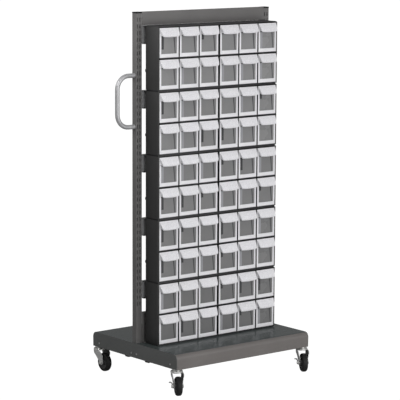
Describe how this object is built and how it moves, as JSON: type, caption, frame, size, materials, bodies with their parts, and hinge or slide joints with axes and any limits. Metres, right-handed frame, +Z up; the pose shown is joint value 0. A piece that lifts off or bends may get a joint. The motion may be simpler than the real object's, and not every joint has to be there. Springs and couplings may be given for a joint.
{
  "type": "mobile bin cart",
  "caption": "Mobile bin cart: a steel rack on swivel casters with rows of tip-out small-parts bins in black cabinets, a base tray and a side push handle.",
  "frame": {"origin": "on the floor, at the middle of the bounding box's footprint", "axes": "+Z up, -Y the way the bins face, +X to the right seen from the bins' side; the push handle is on -X"},
  "size_m": [0.7754, 0.5998, 1.4628],
  "materials": {
    "dark_grey_paint": "satin",
    "black_plastic": "satin",
    "white_plastic": "satin",
    "zinc_plate": "satin",
    "satin_steel": "satin",
    "black_rubber": "matt"
  },
  "bodies": {
    "cart": {"base_front_crossbar": "dark_grey_paint", "base_rear_crossbar": "dark_grey_paint", "base_tray": "dark_grey_paint", "cabinet_1": "black_plastic", "cabinet_2": "black_plastic", "cabinet_3": "black_plastic", "cabinet_4": "black_plastic", "cabinet_5": "black_plastic", "caster_front_left_head": "zinc_plate", "caster_front_right_head": "zinc_plate", "caster_rear_left_head": "zinc_plate", "caster_rear_right_head": "zinc_plate", "hanging_rail_1": "dark_grey_paint", "hanging_rail_2": "dark_grey_paint", "hanging_rail_3": "dark_grey_paint", "hanging_rail_4": "dark_grey_paint", "hanging_rail_5": "dark_grey_paint", "header_panel": "dark_grey_paint", "kick_panel": "dark_grey_paint", "left_upright": "dark_grey_paint", "left_upright_cap": "black_plastic", "push_handle": "satin_steel", "right_upright": "dark_grey_paint", "right_upright_cap": "black_plastic"},
    "bin_10_row": {"bin_10_row": "white_plastic"},
    "bin_1_row": {"bin_1_row": "white_plastic"},
    "bin_2_row": {"bin_2_row": "white_plastic"},
    "bin_3_row": {"bin_3_row": "white_plastic"},
    "bin_4_row": {"bin_4_row": "white_plastic"},
    "bin_5_1": {"bin_5_1": "white_plastic"},
    "bin_5_2": {"bin_5_2": "white_plastic"},
    "bin_5_3": {"bin_5_3": "white_plastic"},
    "bin_5_4": {"bin_5_4": "white_plastic"},
    "bin_5_5": {"bin_5_5": "white_plastic"},
    "bin_5_6": {"bin_5_6": "white_plastic"},
    "bin_6_1": {"bin_6_1": "white_plastic"},
    "bin_6_2": {"bin_6_2": "white_plastic"},
    "bin_6_3": {"bin_6_3": "white_plastic"},
    "bin_6_4": {"bin_6_4": "white_plastic"},
    "bin_6_5": {"bin_6_5": "white_plastic"},
    "bin_6_6": {"bin_6_6": "white_plastic"},
    "bin_7_row": {"bin_7_row": "white_plastic"},
    "bin_8_row": {"bin_8_row": "white_plastic"},
    "bin_9_row": {"bin_9_row": "white_plastic"},
    "caster_front_left_fork": {"caster_front_left_fork": "zinc_plate", "caster_front_left_axle": "zinc_plate"},
    "caster_front_left_wheel": {"caster_front_left_wheel": "black_rubber"},
    "caster_front_left_brake": {"caster_front_left_brake": "zinc_plate"},
    "caster_front_right_fork": {"caster_front_right_fork": "zinc_plate", "caster_front_right_axle": "zinc_plate"},
    "caster_front_right_wheel": {"caster_front_right_wheel": "black_rubber"},
    "caster_front_right_brake": {"caster_front_right_brake": "zinc_plate"},
    "caster_rear_left_fork": {"caster_rear_left_fork": "zinc_plate", "caster_rear_left_axle": "zinc_plate"},
    "caster_rear_left_wheel": {"caster_rear_left_wheel": "black_rubber"},
    "caster_rear_right_fork": {"caster_rear_right_fork": "zinc_plate", "caster_rear_right_axle": "zinc_plate"},
    "caster_rear_right_wheel": {"caster_rear_right_wheel": "black_rubber"}
  },
  "joints": [
    {"name": "bin_10_row_tip", "type": "hinge", "parent": "cart", "child": "bin_10_row", "pos_m": [0.0402, -0.08057, 0.1644], "axis": [1, 0, 0], "range_deg": [0, 40]},
    {"name": "bin_1_row_tip", "type": "hinge", "parent": "cart", "child": "bin_1_row", "pos_m": [0.0402, -0.08057, 1.2898], "axis": [1, 0, 0], "range_deg": [0, 40]},
    {"name": "bin_2_row_tip", "type": "hinge", "parent": "cart", "child": "bin_2_row", "pos_m": [0.0402, -0.08057, 1.1672], "axis": [1, 0, 0], "range_deg": [0, 40]},
    {"name": "bin_3_row_tip", "type": "hinge", "parent": "cart", "child": "bin_3_row", "pos_m": [0.0402, -0.08057, 1.0391], "axis": [1, 0, 0], "range_deg": [0, 40]},
    {"name": "bin_4_row_tip", "type": "hinge", "parent": "cart", "child": "bin_4_row", "pos_m": [0.0402, -0.08057, 0.9165], "axis": [1, 0, 0], "range_deg": [0, 40]},
    {"name": "bin_5_1_tip", "type": "hinge", "parent": "cart", "child": "bin_5_1", "pos_m": [-0.2093, -0.08057, 0.7884], "axis": [1, 0, 0], "range_deg": [0, 40]},
    {"name": "bin_5_2_tip", "type": "hinge", "parent": "cart", "child": "bin_5_2", "pos_m": [-0.1103, -0.08057, 0.7884], "axis": [1, 0, 0], "range_deg": [0, 40]},
    {"name": "bin_5_3_tip", "type": "hinge", "parent": "cart", "child": "bin_5_3", "pos_m": [-0.0113, -0.08057, 0.7884], "axis": [1, 0, 0], "range_deg": [0, 40]},
    {"name": "bin_5_4_tip", "type": "hinge", "parent": "cart", "child": "bin_5_4", "pos_m": [0.0917, -0.08057, 0.7884], "axis": [1, 0, 0], "range_deg": [0, 40]},
    {"name": "bin_5_5_tip", "type": "hinge", "parent": "cart", "child": "bin_5_5", "pos_m": [0.1907, -0.08057, 0.7884], "axis": [1, 0, 0], "range_deg": [0, 40]},
    {"name": "bin_5_6_tip", "type": "hinge", "parent": "cart", "child": "bin_5_6", "pos_m": [0.2897, -0.08057, 0.7884], "axis": [1, 0, 0], "range_deg": [0, 40]},
    {"name": "bin_6_1_tip", "type": "hinge", "parent": "cart", "child": "bin_6_1", "pos_m": [-0.2093, -0.08057, 0.6658], "axis": [1, 0, 0], "range_deg": [0, 40]},
    {"name": "bin_6_2_tip", "type": "hinge", "parent": "cart", "child": "bin_6_2", "pos_m": [-0.1103, -0.08057, 0.6658], "axis": [1, 0, 0], "range_deg": [0, 40]},
    {"name": "bin_6_3_tip", "type": "hinge", "parent": "cart", "child": "bin_6_3", "pos_m": [-0.0113, -0.08057, 0.6658], "axis": [1, 0, 0], "range_deg": [0, 40]},
    {"name": "bin_6_4_tip", "type": "hinge", "parent": "cart", "child": "bin_6_4", "pos_m": [0.0917, -0.08057, 0.6658], "axis": [1, 0, 0], "range_deg": [0, 40]},
    {"name": "bin_6_5_tip", "type": "hinge", "parent": "cart", "child": "bin_6_5", "pos_m": [0.1907, -0.08057, 0.6658], "axis": [1, 0, 0], "range_deg": [0, 40]},
    {"name": "bin_6_6_tip", "type": "hinge", "parent": "cart", "child": "bin_6_6", "pos_m": [0.2897, -0.08057, 0.6658], "axis": [1, 0, 0], "range_deg": [0, 40]},
    {"name": "bin_7_row_tip", "type": "hinge", "parent": "cart", "child": "bin_7_row", "pos_m": [0.0402, -0.08057, 0.5377], "axis": [1, 0, 0], "range_deg": [0, 40]},
    {"name": "bin_8_row_tip", "type": "hinge", "parent": "cart", "child": "bin_8_row", "pos_m": [0.0402, -0.08057, 0.4151], "axis": [1, 0, 0], "range_deg": [0, 40]},
    {"name": "bin_9_row_tip", "type": "hinge", "parent": "cart", "child": "bin_9_row", "pos_m": [0.0402, -0.08057, 0.287], "axis": [1, 0, 0], "range_deg": [0, 40]},
    {"name": "caster_front_left_swivel", "type": "hinge", "parent": "cart", "child": "caster_front_left_fork", "pos_m": [-0.2828, -0.23057, 0.0917], "axis": [0, 0, 1], "continuous": true},
    {"name": "caster_front_left_roll", "type": "hinge", "parent": "caster_front_left_fork", "child": "caster_front_left_wheel", "pos_m": [-0.2997, -0.26235, 0.0375], "axis": [0.8829, -0.4695, 0], "continuous": true},
    {"name": "caster_front_left_brake_press", "type": "hinge", "parent": "caster_front_left_fork", "child": "caster_front_left_brake", "pos_m": [-0.2997, -0.26235, 0.0375], "axis": [-0.8829, 0.4695, 0], "range_deg": [0, 30]},
    {"name": "caster_front_right_swivel", "type": "hinge", "parent": "cart", "child": "caster_front_right_fork", "pos_m": [0.3632, -0.23057, 0.0917], "axis": [0, 0, 1], "continuous": true},
    {"name": "caster_front_right_roll", "type": "hinge", "parent": "caster_front_right_fork", "child": "caster_front_right_wheel", "pos_m": [0.3463, -0.26235, 0.0375], "axis": [0.8829, -0.4695, 0], "continuous": true},
    {"name": "caster_front_right_brake_press", "type": "hinge", "parent": "caster_front_right_fork", "child": "caster_front_right_brake", "pos_m": [0.3463, -0.26235, 0.0375], "axis": [-0.8829, 0.4695, 0], "range_deg": [0, 30]},
    {"name": "caster_rear_left_swivel", "type": "hinge", "parent": "cart", "child": "caster_rear_left_fork", "pos_m": [-0.2828, 0.27543, 0.0917], "axis": [0, 0, 1], "continuous": true},
    {"name": "caster_rear_left_roll", "type": "hinge", "parent": "caster_rear_left_fork", "child": "caster_rear_left_wheel", "pos_m": [-0.28406, 0.23946, 0.0375], "axis": [0.9994, -0.0349, 0], "continuous": true},
    {"name": "caster_rear_right_swivel", "type": "hinge", "parent": "cart", "child": "caster_rear_right_fork", "pos_m": [0.3632, 0.27543, 0.0917], "axis": [0, 0, 1], "continuous": true},
    {"name": "caster_rear_right_roll", "type": "hinge", "parent": "caster_rear_right_fork", "child": "caster_rear_right_wheel", "pos_m": [0.35571, 0.24022, 0.0375], "axis": [0.9781, -0.2079, 0], "continuous": true}
  ]
}
